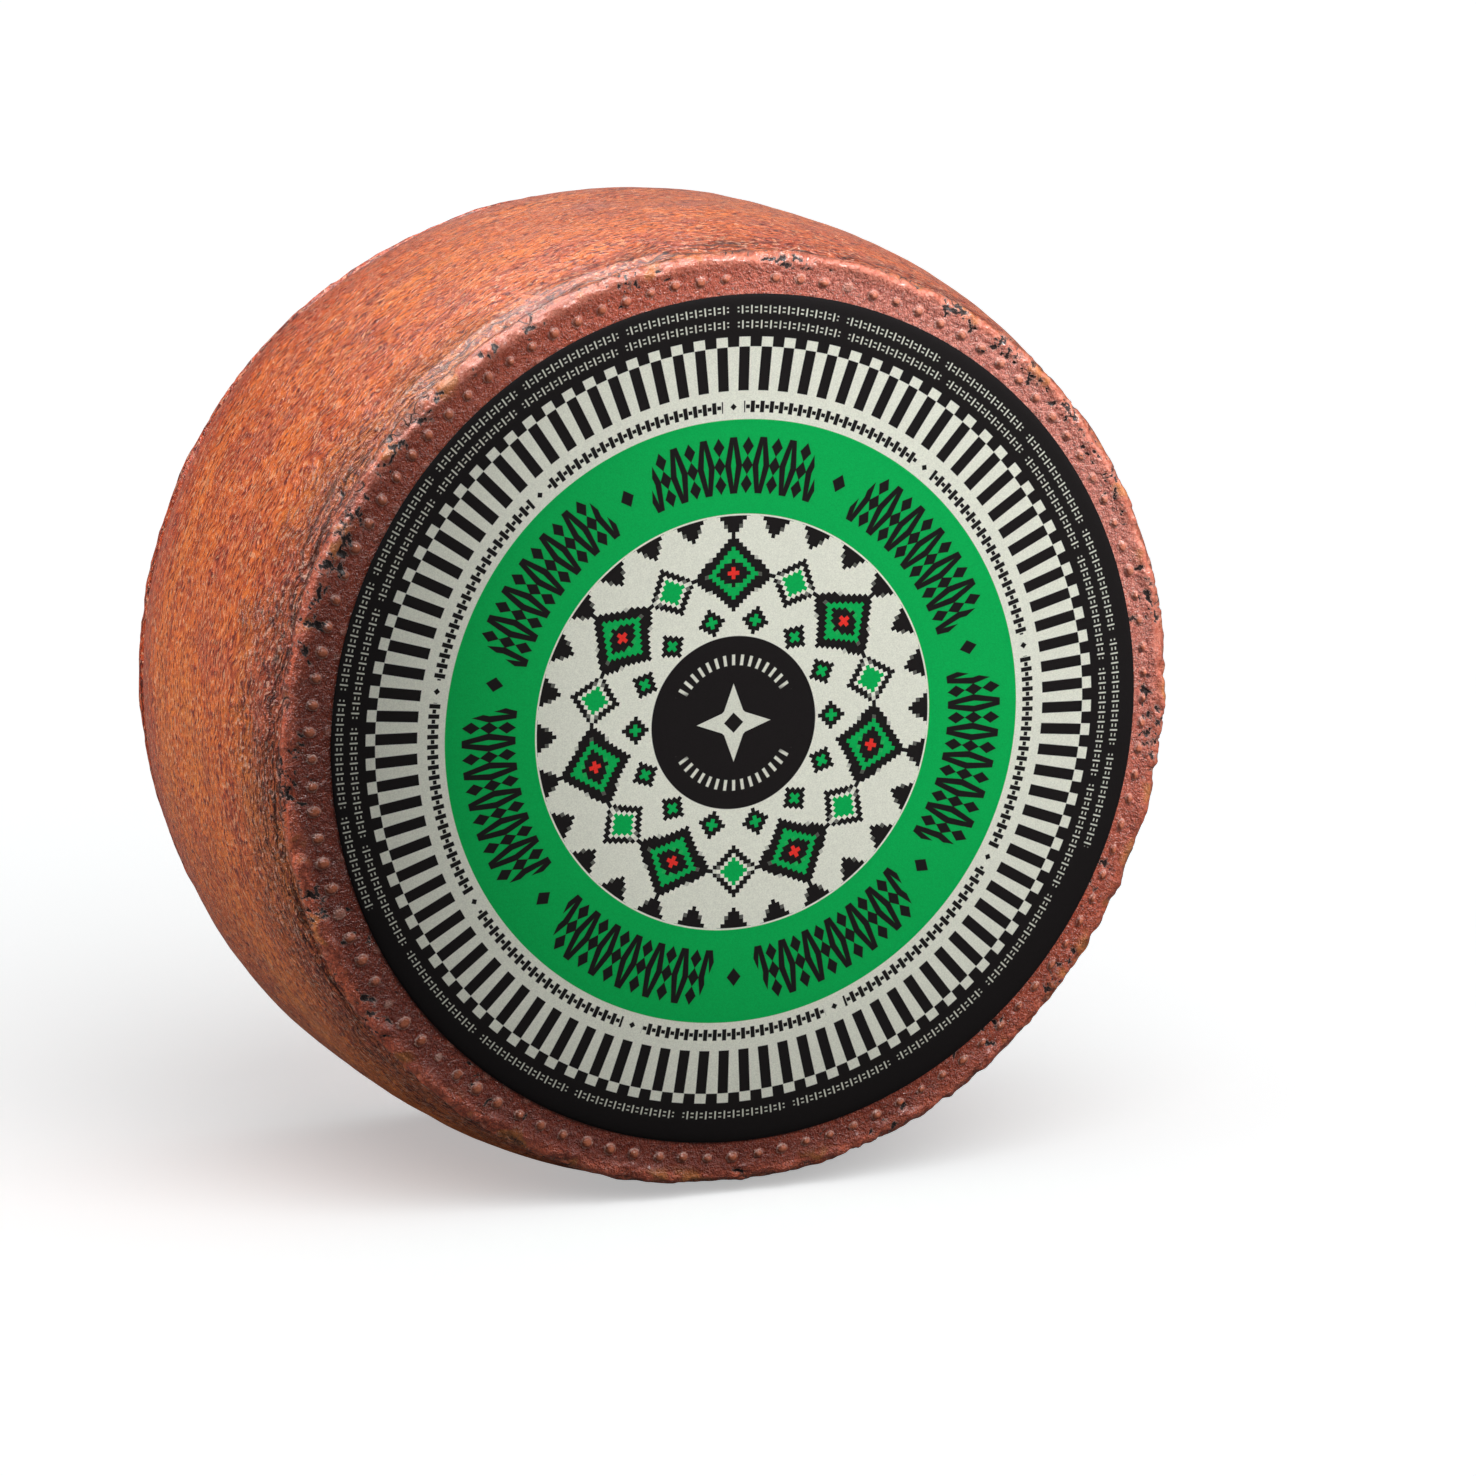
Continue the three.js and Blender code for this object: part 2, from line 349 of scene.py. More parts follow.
class Skin:
    """A closed surface, put together row by row from the middle of one face to the middle of the other."""

    def __init__(self):
        self.places = []
        self.amounts = []
        self.faces = []
        self.count = 0
        self.last = None

    def add_row(self, places, amounts):
        ids = self.count + np.arange(len(places))
        self.places.append(places)
        self.amounts.append(amounts)
        self.count += len(places)
        if self.last is not None:
            self.join(self.last, ids)
        self.last = ids

    def add_rows(self, rows, amounts):
        for row_places, row_amounts in zip(rows, amounts):
            self.add_row(row_places, row_amounts)

    def join(self, upper, lower):
        """Faces between two rows. One may have a whole number of times as many vertices as the other."""
        if len(upper) == len(lower):
            quads = np.stack([upper, lower, np.roll(lower, -1), np.roll(upper, -1)], 1)
            self.faces.extend(quads.tolist())
            return
        flipped = len(upper) < len(lower)
        fine, coarse = (lower, upper) if flipped else (upper, lower)
        ratio = len(fine) // len(coarse)
        half = ratio // 2
        for j, corner in enumerate(coarse):
            following = coarse[(j + 1) % len(coarse)]
            own = [fine[(j * ratio + k) % len(fine)] for k in range(ratio + 1)]
            fans = [(corner, own[k + 1], own[k]) for k in range(half)]
            if len(coarse) > 1:
                fans.append((corner, following, own[half]))
            fans += [(following, own[k + 1], own[k]) for k in range(half, ratio)]
            self.faces.extend([tuple(int(i) for i in (fan[::-1] if flipped else fan)) for fan in fans])

    def to_object(self, name, amount_names=()):
        places = np.concatenate(self.places) * MM
        mesh = bpy.data.meshes.new(name)
        mesh.from_pydata(places.tolist(), [], self.faces)
        mesh.validate()
        for k, amount_name in enumerate(amount_names):
            layer = mesh.attributes.new(amount_name, "FLOAT", "POINT")
            layer.data.foreach_set("value", np.concatenate(self.amounts)[:, k].astype(np.float32))
        mesh.shade_smooth()
        obj = bpy.data.objects.new(name, mesh)
        bpy.context.scene.collection.objects.link(obj)
        return obj


def circle_row(radius, y, columns, wobble=0.0, shift=0.0):
    """A row of vertices in a circle whose middle lies a shift to the right of the axis."""
    angle = np.arange(columns) / columns * 2 * math.pi
    heights = np.full(columns, y) + wobble
    return np.stack([AXIS_X + shift + radius * np.sin(angle), heights, AXIS_Z + radius * np.cos(angle)], -1)


def under_label(places):
    """The same places, pushed back behind the label where it covers them."""
    from_middle = np.hypot(places[..., 0] - AXIS_X - LABEL_SHIFT, places[..., 2] - AXIS_Z)
    least_y = FACE_Y + np.where(from_middle < LABEL_RADIUS + 0.1, UNDER_LABEL, -1.0)
    places[..., 1] = np.maximum(places[..., 1], least_y)
    return places


def make_wheel():
    skin = Skin()
    coarse = NUBS_PER_ROW * COLUMNS_PER_NUB["face"]
    side = NUBS_PER_ROW * COLUMNS_PER_NUB["side"]
    skin.add_row(np.array([[AXIS_X, FACE_Y, AXIS_Z]]), np.zeros((1, 4)))
    for radius, drop in SEAT:
        skin.add_row(circle_row(radius, FACE_Y + drop, coarse), np.zeros((coarse, 4)))

    front = rim_outline(FRONT_HEIGHT, FRONT_ROW_STEP)
    front[:, 1] *= -1
    places, amounts = ring_rows(front, COLUMNS_PER_NUB["rim"], SEEDS["front"], -1)
    skin.add_rows(under_label(places), amounts)
    skin.add_rows(*ring_rows(side_outline(), COLUMNS_PER_NUB["side"], SEEDS["front"], -1))
    back = rim_outline(BACK_HEIGHT, BACK_ROW_STEP)[::-1]
    skin.add_rows(*ring_rows(back, COLUMNS_PER_NUB["side"], SEEDS["back"], 1))

    back_y = WIDEST_Y + BACK_HEIGHT - RIM[0][1]
    for radius in BACK_FACE_RINGS:
        turns = np.arange(side)[None, :] / side
        swell = BACK_FACE_SWELL * layered(turns, np.full_like(turns, radius), 30, 12, SEEDS["swell"], 2)[0]
        skin.add_row(circle_row(radius, back_y, side, swell), np.zeros((side, 4)))
    skin.add_row(np.array([[AXIS_X, back_y, AXIS_Z]]), np.zeros((1, 4)))
    return skin.to_object("wheel_rind", ("ring", "lip", "nub", "pit"))


def label_level(radius):
    """How far behind its own front level the label lies at a radius."""
    share = max(0.0, (radius - LABEL_BEND_START) / (LABEL_RADIUS - LABEL_BEND_START))
    return LABEL_BEND * share**2 + LABEL_CURL * share**12


def make_label():
    skin = Skin()
    front_y = FACE_Y - GLUE - LABEL_THICKNESS
    radii = [*np.arange(6, 78, 6.0), *np.arange(LABEL_BEND_START, LABEL_RADIUS - 0.5, 0.8)]
    front = [(r, front_y + label_level(r)) for r in radii]
    last = front_y + label_level(LABEL_RADIUS)
    front += [(LABEL_RADIUS - PAPER_EDGE, last), (LABEL_RADIUS, last + PAPER_EDGE)]
    last_back = last + PAPER_THICKNESS
    back = [(LABEL_RADIUS, last_back), (LABEL_RADIUS - PAPER_EDGE, last_back + 0.02)]
    back += [(r, front_y + label_level(r) + PAPER_THICKNESS) for r in (84.0, 80.0, 60.0)]
    middle_x = AXIS_X + LABEL_SHIFT
    skin.add_row(np.array([[middle_x, front_y, AXIS_Z]]), np.zeros((1, 1)))
    for radius, y in front + back:
        turns = np.arange(LABEL_COLUMNS)[None, :] / LABEL_COLUMNS
        wave = PAPER_WAVE * layered(turns, np.full_like(turns, radius), 60, 30, SEEDS["wave"], 2)[0]
        skin.add_row(circle_row(radius, y, LABEL_COLUMNS, wave, LABEL_SHIFT), np.zeros((LABEL_COLUMNS, 1)))
    skin.add_row(np.array([[middle_x, front_y + PAPER_THICKNESS, AXIS_Z]]), np.zeros((1, 1)))
    return skin.to_object("label_paper")


# Materials, as fields worked out by shader nodes

class Field:
    """A number or a colour that varies over a surface: one output of a material's nodes."""

    def __init__(self, tree, socket):
        self.tree = tree
        self.socket = socket

    def math(self, operation, *others):
        node = self.tree.nodes.new("ShaderNodeMath")
        node.operation = operation
        connect(self.tree, self, node.inputs[0])
        for other, socket in zip(others, node.inputs[1:]):
            connect(self.tree, other, socket)
        return Field(self.tree, node.outputs[0])

    def __add__(self, other):
        return self.math("ADD", other)

    def __sub__(self, other):
        return self.math("SUBTRACT", other)

    def __mul__(self, other):
        return self.math("MULTIPLY", other)

    def __rsub__(self, other):
        return self.math("MULTIPLY", -1.0) + other

    def __abs__(self):
        return self.math("ABSOLUTE")

    def ramp(self, low, high):
        """0 below low, 1 above high, and smooth between. High may be below low."""
        node = self.tree.nodes.new("ShaderNodeMapRange")
        node.interpolation_type = "SMOOTHSTEP"
        connect(self.tree, self, node.inputs["Value"])
        flipped = high < low
        node.inputs["From Min"].default_value = high if flipped else low
        node.inputs["From Max"].default_value = low if flipped else high
        node.inputs["To Min"].default_value = 1.0 if flipped else 0.0
        node.inputs["To Max"].default_value = 0.0 if flipped else 1.0
        return Field(self.tree, node.outputs["Result"])

    def below(self, limit, soft):
        return self.ramp(limit + soft, limit - soft)


def connect(tree, value, socket):
    if isinstance(value, Field):
        tree.links.new(value.socket, socket)
    elif hasattr(value, "__len__"):
        is_bare_colour = len(value) == 3 and len(socket.default_value) == 4
        socket.default_value = (*value, 1.0) if is_bare_colour else value
    else:
        socket.default_value = value


def mix(factor, a, b):
    """Colour a where the factor is 0, and b where it is 1."""
    node = factor.tree.nodes.new("ShaderNodeMix")
    node.data_type = "RGBA"
    connect(factor.tree, factor, node.inputs[0])
    connect(factor.tree, a, node.inputs[6])
    connect(factor.tree, b, node.inputs[7])
    return Field(factor.tree, node.outputs[2])


def most(first, *others):
    for other in others:
        first = first.math("MAXIMUM", other)
    return first


class Surface:
    """A material with one principled shader, and the fields that it is made from."""

    def __init__(self, name):
        self.material = bpy.data.materials.new(name)
        self.material.use_nodes = True
        self.tree = self.material.node_tree
        self.shader = self.tree.nodes["Principled BSDF"]
        self.place = self.tree.nodes.new("ShaderNodeTexCoord").outputs["Object"]

    def set(self, **values):
        for name, value in values.items():
            connect(self.tree, value, self.shader.inputs[name.replace("_", " ")])

    def about_axis(self):
        """Fields, in millimetres: right, up and back from the widest place's centre."""
        node = self.tree.nodes.new("ShaderNodeSeparateXYZ")
        self.tree.links.new(self.place, node.inputs[0])
        x, y, z = (Field(self.tree, node.outputs[k]) * (1 / MM) for k in range(3))
        return x - AXIS_X, z - AXIS_Z, y - WIDEST_Y

    def vector(self, x, y, z):
        node = self.tree.nodes.new("ShaderNodeCombineXYZ")
        for value, socket in zip((x, y, z), node.inputs):
            connect(self.tree, value, socket)
        return Field(self.tree, node.outputs[0])

    def noise(self, vector, scale, detail=2.0, roughness=0.5, distortion=0.0):
        """Noise from 0 to 1 at so many cells for each unit of the vector."""
        node = self.tree.nodes.new("ShaderNodeTexNoise")
        connect(self.tree, vector, node.inputs["Vector"])
        node.inputs["Scale"].default_value = scale
        node.inputs["Detail"].default_value = detail
        node.inputs["Roughness"].default_value = roughness
        node.inputs["Distortion"].default_value = distortion
        return Field(self.tree, node.outputs[0])

    def cells(self, vector, scale, feature="F1"):
        """Distance to the nearest of scattered points, or to the edge between two."""
        node = self.tree.nodes.new("ShaderNodeTexVoronoi")
        node.feature = feature
        connect(self.tree, vector, node.inputs["Vector"])
        node.inputs["Scale"].default_value = scale
        return Field(self.tree, node.outputs["Distance"])

    def attribute(self, name):
        node = self.tree.nodes.new("ShaderNodeAttribute")
        node.attribute_name = name
        return Field(self.tree, node.outputs["Fac"])

    def bump(self, height_mm):
        """Bumps from a height in millimetres."""
        node = self.tree.nodes.new("ShaderNodeBump")
        node.inputs["Strength"].default_value = 1.0
        node.inputs["Distance"].default_value = MM
        connect(self.tree, height_mm, node.inputs["Height"])
        self.tree.links.new(node.outputs["Normal"], self.shader.inputs["Normal"])


# Colours of the rind, each with a pale tone and a dark one
ORANGE = (1.0, 0.250, 0.046), (0.56, 0.078, 0.021)
BROWN = (0.68, 0.138, 0.062), (0.30, 0.046, 0.028)
GOLDEN = (1.0, 0.350, 0.080), (0.68, 0.140, 0.034)
BEHIND = (0.78, 0.104, 0.026), (0.36, 0.038, 0.013)
# the band beside the lip: the rind's darker brown, with painted shade of the hollow before the lip
EDGE_BROWN_AND_SHADE = (0.42, 0.118, 0.076), (0.044, 0.015, 0.019)
# the ring in shade, lit, and with a painted pink sheen: painted light and shade
SHADED_RING = (0.31, 0.048, 0.021), (0.190, 0.027, 0.015)
LIT_RING = (0.86, 0.182, 0.096), (0.56, 0.092, 0.050)
RING_SHEEN = (0.90, 0.345, 0.270), (0.58, 0.172, 0.130)
# the lip in shade, and with a painted highlight
SHADED_LIP = (0.84, 0.190, 0.100), (0.50, 0.096, 0.056)
HIGHLIT_LIP = (1.0, 0.360, 0.250), (0.80, 0.200, 0.125)

# Colours of its small marks, and of its painted glints and highlights
STREAK = (0.34, 0.070, 0.040)
HAIR = (0.14, 0.024, 0.018)
GLINT = (1.0, 0.48, 0.26)
WRINKLE = (0.30, 0.060, 0.036)
EDGE_GLINT = (0.90, 0.56, 0.46)
RING_LUMP = (0.24, 0.050, 0.034)
RING_GLINT = (1.0, 0.72, 0.64)
YELLOWISH = (0.84, 0.32, 0.08)
NUB = (0.74, 0.235, 0.115)
NUB_RIM_HIGHLIGHT = (0.95, 0.60, 0.50)
CRACK_EDGE = (0.62, 0.27, 0.20)
PIT_RIM_HIGHLIGHT = (0.80, 0.50, 0.42)
DARK = (0.009, 0.005, 0.005)


def rind_material():
    """Oiled, rubbed rind: orange-brown and finely wrinkled on the side, rougher and redder on the rims."""
    s = Surface("rind")
    right, up, back = s.about_axis()
    radius = (right * right + up * up).math("SQRT")
    arc = right.math("ARCTAN2", up) * WHEEL_RADIUS
    solid = s.vector(right, up, back)
    drop = (back + FRONT_HEIGHT).math("MINIMUM", BACK_HEIGHT - back)
    ring = s.attribute("ring")
    lip = s.attribute("lip")
    nub = s.attribute("nub")
    pit = s.attribute("pit")

    # noises that are even in all directions
    sway = s.noise(solid, 0.07, 2.0) * 7.0
    tilt = s.noise(solid, 0.30, 2.0) * 2.2
    grain = s.noise(solid, 1.35, 2.0, 0.6)
    lumps = s.noise(solid, 0.55, 3.0, 0.55)
    blotches = s.noise(solid, 0.10, 4.0, 0.62, 0.5)
    patches = s.noise(s.vector(arc * 0.4, back, radius), 0.035, 3.0, 0.55, 0.6)
    fine = s.noise(solid, 3.0, 1.0, 0.6)

    # noises that run round the side: each gives way to an even one on the faces
    on_face = radius.ramp(92.0, 86.0)

    def running(even, around, outward, tilted, scale, detail, roughness):
        place = s.vector(arc * around, back + sway + tilt * tilted, radius * outward)
        run = s.noise(place, scale, detail, roughness)
        return run + (even - run) * on_face

    fibres = running(lumps, 0.21, 0.3, 0.6, 1.45, 2.0, 0.6)
    hairs = running(grain, 0.30, 0.4, 0.8, 1.9, 1.0, 0.5)
    glints = running(fine, 0.45, 0.5, 1.0, 1.7, 1.0, 0.5)
    streaks = running(blotches, 0.12, 0.1, 0.0, 0.22, 3.0, 0.6)
    wrinkles = running(lumps, 0.13, 0.13, 0.0, 0.50, 4.0, 0.7)
    long_lines = s.noise(s.vector(arc * 0.07, back + sway * 0.6 + tilt * 0.5, 0.0), 0.45, 3.0, 0.6)

    # the side
    tone = (fibres * 0.30 + hairs * 0.55 + streaks * 0.15).ramp(0.40, 0.60)
    towards_rims = abs(back).ramp(12.0, 44.0) * 0.35
    brownness = patches.ramp(0.40, 0.62) * 0.6 + blotches.ramp(0.44, 0.64) * 0.5 + towards_rims - 0.2
    colour = mix(brownness, mix(tone, *ORANGE), mix(tone, *BROWN))
    colour = mix(patches.ramp(0.50, 0.36) * 0.45, colour, mix(tone, *GOLDEN))
    colour = mix(back.ramp(0.0, 42.0) * 0.8, colour, mix(tone, *BEHIND))
    colour = mix(streaks.ramp(0.56, 0.72) * 0.5, colour, STREAK)
    colour = mix(hairs.ramp(0.57, 0.65) * 0.85, colour, HAIR)
    # pale painted glints on the fibres
    colour = mix(glints.ramp(0.58, 0.65) * 0.60, colour, GLINT)
    colour = mix(wrinkles.ramp(0.56, 0.70) * 0.3, colour, WRINKLE)

    # the rims: painted light and shade, deep red-brown in shade at the lower left, and paler towards the
    # upper right, where the light falls
    front = back.ramp(5.0, -15.0) * 0.8 + 0.2
    # pale: how far a place lies on the lit upper right; it drives the rims' painted light and shade
    pale = (right + up + (blotches - 0.5) * 60.0).ramp(-110.0, 120.0) * front
    # where the ring gets its painted pink sheen, at the upper right
    sheen_side = (right * 0.8 + up * 0.6).ramp(30.0, 100.0)
    from_lip = drop * (pale * 0.5 + 0.5) + (blotches - 0.5) * 16.0 + (wrinkles - 0.5) * 12.0
    near_lip = from_lip.ramp(13.0, 3.0) * front
    edge_tone = (fibres * 0.5 + wrinkles * 0.5).ramp(0.42, 0.56)
    # the darker band beside the lip, wider and stronger on the shaded lower left: partly the rind's own
    # brown, partly painted shade of the hollow before the lip
    colour = mix(near_lip * (0.50 - pale * 0.36), colour, mix(edge_tone, *EDGE_BROWN_AND_SHADE))
    # pale painted glints beside the lip
    colour = mix(glints.ramp(0.57, 0.64) * near_lip * 0.42, colour, EDGE_GLINT)

    # the ring, in shade at the lower left and lit towards the upper right, with a painted pink sheen there;
    # and the lip, which is paler, with a painted highlight on its upper side, and has a few yellowish places
    broad_grain = grain.ramp(0.28, 0.72)
    sharp_grain = grain.ramp(0.36, 0.64)
    lit_ring_colour = mix(sheen_side, mix(broad_grain, *LIT_RING), mix(sharp_grain, *RING_SHEEN))
    ring_colour = mix(pale, mix(broad_grain, *SHADED_RING), lit_ring_colour)
    ring_colour = mix(lumps.ramp(0.56, 0.72) * 0.3, ring_colour, RING_LUMP)
    # pale painted glints on the ring, more of them on the lit side
    ring_colour = mix(fine.ramp(0.58, 0.69) * (pale * 0.46 + 0.12), ring_colour, RING_GLINT)
    colour = mix(ring, colour, ring_colour)
    # a painted highlight: the lip is paler on its upper side, where the light falls, and deep red-brown in
    # shade below
    lit_lip = (up + right * 0.3 + (blotches - 0.5) * 40.0).ramp(-10.0, 60.0)
    lip_colour = mix(lit_lip, mix(sharp_grain, *SHADED_LIP), mix(sharp_grain, *HIGHLIT_LIP))
    lip_colour = mix(s.noise(solid, 0.14, 2.0).ramp(0.56, 0.66) * 0.7, lip_colour, YELLOWISH)
    colour = mix(lip * front * 0.85, colour, lip_colour)
    colour = mix(nub * 0.62, colour, NUB)
    # a pale painted highlight round each nub
    colour = mix((nub.ramp(0.04, 0.20) - nub.ramp(0.25, 0.60)) * 0.45, colour, NUB_RIM_HIGHLIGHT)

    # pits and nicks round the lip
    ragged = pit * (1.0 - pale * 0.15) + (fine - 0.5) * 1.0 + (grain - 0.5) * 0.8

    # cracks in torn places of the lip
    edges = s.cells(s.vector(right + tilt, up + tilt, back + grain * 1.5), 0.30, "DISTANCE_TO_EDGE")
    torn = s.noise(solid, 0.11, 2.0).ramp(0.50, 0.60) * drop.ramp(0.7, 1.3) * drop.ramp(5.0, 3.0) * front
    cracks = edges.below(0.030, 0.022) * torn

    # painted shade: dark lines in the creases beside the lip, and in the groove
    beside_lip = drop.ramp(1.4, 2.6) * (drop + (blotches - 0.5) * 14.0).ramp(11.0, 6.0) * front
    groove_shade = abs(drop - 2.7 + (wrinkles - 0.5) * 5.0).below(0.14, 0.12) * lumps.ramp(0.44, 0.52)
    crease_shade = most(abs(long_lines - 0.5).below(0.015, 0.013) * beside_lip, groove_shade)

    # small dark specks on the side, closer together near the lip
    points = s.cells(s.vector(arc * 0.7, back + tilt, radius), 0.15)
    specks = points.below(0.060, 0.025) * blotches.ramp(0.42, 0.56)
    speckle = (fibres * 0.5 + grain * 0.5).ramp(0.545, 0.595) * near_lip
    speckle = speckle * (1.0 - pale * 0.7) * drop.ramp(0.8, 1.6)

    # all the dark marks, with the painted shade of the creases among them: those of the lip have a pale edge,
    # a plain paler edge round the cracks and a painted highlight round the pits
    dark = most(ragged.ramp(0.36, 0.60), cracks, crease_shade * 0.85, specks * 0.8, speckle * 0.8)
    colour = mix(edges.below(0.09, 0.05) * torn * 0.5, colour, CRACK_EDGE)
    colour = mix(ragged.ramp(0.14, 0.30) * pit.ramp(0.0, 0.1) * 0.45, colour, PIT_RIM_HIGHLIGHT)
    colour = mix(dark * 0.97, colour, DARK)

    # height in millimetres
    side = 1.0 - (ring + lip).math("MINIMUM", 1.0)
    rough_edge = near_lip * 1.2 + 1.0
    height = side * rough_edge * (fibres * 0.36 + hairs * 0.50 + wrinkles * 0.42)
    height = height + side * (near_lip + 0.6) * (grain * 0.5 + fine * 0.16)
    rim_height = grain * 0.75 + lumps * 0.22 + fine * 0.36
    height = height + (1.0 - side) * rim_height * (1.0 - nub * 0.75 - lip * lit_lip * 0.5)
    height = height - dark * 0.45
    s.bump(height)

    gloss = (1.0 - side) * 0.12 + lip * 0.03
    s.set(Base_Color=colour, Roughness=dark * 0.5 + grain.ramp(0.3, 0.7) * 0.12 + 0.25 - gloss)
    s.shader.inputs["IOR"].default_value = 1.47
    s.shader.inputs["Coat Weight"].default_value = 0.4
    s.shader.inputs["Coat Roughness"].default_value = 0.23
    return s.material


# The label's print, in shares of its radius: where its rings end, and the middles of their ornament
CENTRE_DISC = 0.204
PICTURE_END = 0.4905
GREEN_END = 0.711
SMALL_RING_END = 0.778
BARS_END = 0.880
CHECKS_END = 0.903
DISC_DASHES = 0.148
INNER_LOZENGES = 0.244
PICTURE_MIDDLE = 0.352
GREEN_MIDDLE = 0.604
SMALL_RING_MIDDLE = 0.7405
SOFT = 0.0009  # how soft its edges are
STITCH = 0.0095  # width of one stitch

# How often its ornament repeats
BARS = 100
BAR_SHIFT = -0.5
GROUPS = 7  # of the green ring's ornament
SPINDLES = 8 * GROUPS
DASHES = 196
DASH_GAPS = 9
FINE_STITCHES = ((0.9315, 252, 0.51), (0.966, 264, 0.312))  # rows: radius, count, and where it ends, in turns
STITCHES_PER_GROUP = 12

PAPER = (0.80, 0.81, 0.70)
BLACK = (0.0100, 0.0080, 0.0083)
GREEN = (0.0, 0.43, 0.087)
RED = (0.85, 0.035, 0.025)


def label_material():
    """Printed uncoated paper: rings of black, off-white and green with a generic ornament."""
    s = Surface("printed_paper")
    right, up, back = s.about_axis()
    right = (right - PRINT_SHIFT) * (1 / LABEL_RADIUS)
    up = up * (1 / LABEL_RADIUS)
    radius = (right * right + up * up).math("SQRT")
    turns = right.math("ARCTAN2", up) * (0.5 / math.pi)

    def between(low, high):
        return radius.ramp(low - SOFT, low + SOFT) * radius.ramp(high + SOFT, high - SOFT)

    def repeat(count, shift=0.0):
        """Distance along the arc from the nearest of so many places, the first of them at the top."""
        local = (turns * count + (0.5 + shift)).math("FRACT") - 0.5
        return local * radius * (2 * math.pi / count)

    def bar(across, half_width):
        return abs(across).below(half_width, SOFT)

    def upright(across, out, half_width, half_height):
        return bar(across, half_width) * bar(out, half_height)

    def lozenge(across, out, half_width, half_height):
        reach = abs(across) * (1 / half_width) + abs(out) * (1 / half_height)
        return reach.below(1.0, SOFT / half_width)

    def stitched(value):
        """The value in steps, as in cross-stitch."""
        return (value * (1 / STITCH)).math("ROUND") * STITCH

    # the rings
    over_bars = repeat(BARS, BAR_SHIFT)
    is_black = most(
        radius.below(CENTRE_DISC, SOFT),
        between(BARS_END, 1.1) - between(BARS_END, CHECKS_END) * bar(over_bars, 0.0139),
        between(SMALL_RING_END, BARS_END) * bar(over_bars, 0.0130),
    )
    is_green = between(PICTURE_END, GREEN_END)

    # the green ring: groups of seven tall spindles and strings of beads, with a lozenge between the groups
    out = radius - GREEN_MIDDLE
    in_group = bar(repeat(GROUPS), 0.205)
    spindle = lozenge(repeat(SPINDLES), out, 0.0215, 0.110) * bar(out, 0.066)
    slit = lozenge(repeat(SPINDLES), out, 0.0060, 0.045)
    string = repeat(SPINDLES, 0.5)
    beads = most(*(lozenge(string, out - bead, 0.0140, 0.0225) for bead in (-0.044, 0.0, 0.044)))
    is_black = most(is_black, (spindle - slit) * in_group, beads * in_group)
    is_black = most(is_black, lozenge(repeat(GROUPS, 0.5), out, 0.0175, 0.022))

    # the small ring: dashes in groups, with dots between
    out = radius - SMALL_RING_MIDDLE
    dashes = upright(repeat(DASHES), out, 0.0052, 0.0135) + upright(repeat(DASHES, 0.5), out, 0.0050, 0.0045)
    gap = repeat(DASH_GAPS)
    is_black = most(is_black, dashes * (1.0 - bar(gap, 0.026)), lozenge(gap, out, 0.008, 0.008))

    # the black band: two rows of fine pale stitches, the outer one open at the bottom
    for row_radius, count, end in FINE_STITCHES:
        out = radius - row_radius
        low = upright(repeat(count, 0.5), out - 0.0045, 0.0036, 0.0016)
        high = upright(repeat(count, 0.5), out + 0.0045, 0.0036, 0.0016)
        row = upright(repeat(count), out, 0.0018, 0.0095) + low + high
        row = row * (1.0 - bar(repeat(count / STITCHES_PER_GROUP), 0.011)) * abs(turns).below(end, 0.0005)
        is_black = is_black - row * 0.85

    # the picture: bands of stitched triangles and lozenges
    field = between(CENTRE_DISC + 0.004, PICTURE_END - 0.004)
    tooth = repeat(4 * GROUPS)
    teeth = (abs(stitched(tooth)) + abs(stitched(radius - PICTURE_END)) * 0.72).below(0.040, SOFT)
    out = stitched(radius - PICTURE_MIDDLE)
    big = stitched(repeat(GROUPS))
    small = stitched(repeat(GROUPS, 0.5))
    inner_out = stitched(radius - INNER_LOZENGES)
    inner = stitched(repeat(2 * GROUPS, 0.5))
    shapes = most(
        teeth,
        lozenge(big, out, 0.100, 0.088),
        lozenge(small, out, 0.064, 0.060) - lozenge(small, out, 0.048, 0.044),
        lozenge(inner, inner_out, 0.030, 0.036),
    )
    green_shapes = most(
        lozenge(big, out, 0.066, 0.058) - lozenge(big, out, 0.042, 0.036),
        lozenge(small, out, 0.032, 0.030),
        lozenge(inner, inner_out, 0.012, 0.016),
    )
    is_black = most(is_black, shapes * field)
    is_black = is_black - is_black * green_shapes * field
    is_green = most(is_green, green_shapes * field)
    is_red = lozenge(big, out, 0.018, 0.018) * field
    is_black = is_black - is_black * is_red

    # the black disc: a plain star, and a broken ring of dashes
    star_points = ((0.092, 0.034), (0.034, 0.092), (0.052, 0.052))
    star = most(*(lozenge(right, up, wide, tall) for wide, tall in star_points))
    star = star - lozenge(right, up, 0.024, 0.024)
    ring = upright(repeat(44), radius - DISC_DASHES, 0.0038, 0.0125) * (abs(up) * (1 / 0.075)).ramp(0.9, 1.1)
    is_black = is_black - most(star, ring) * 0.9

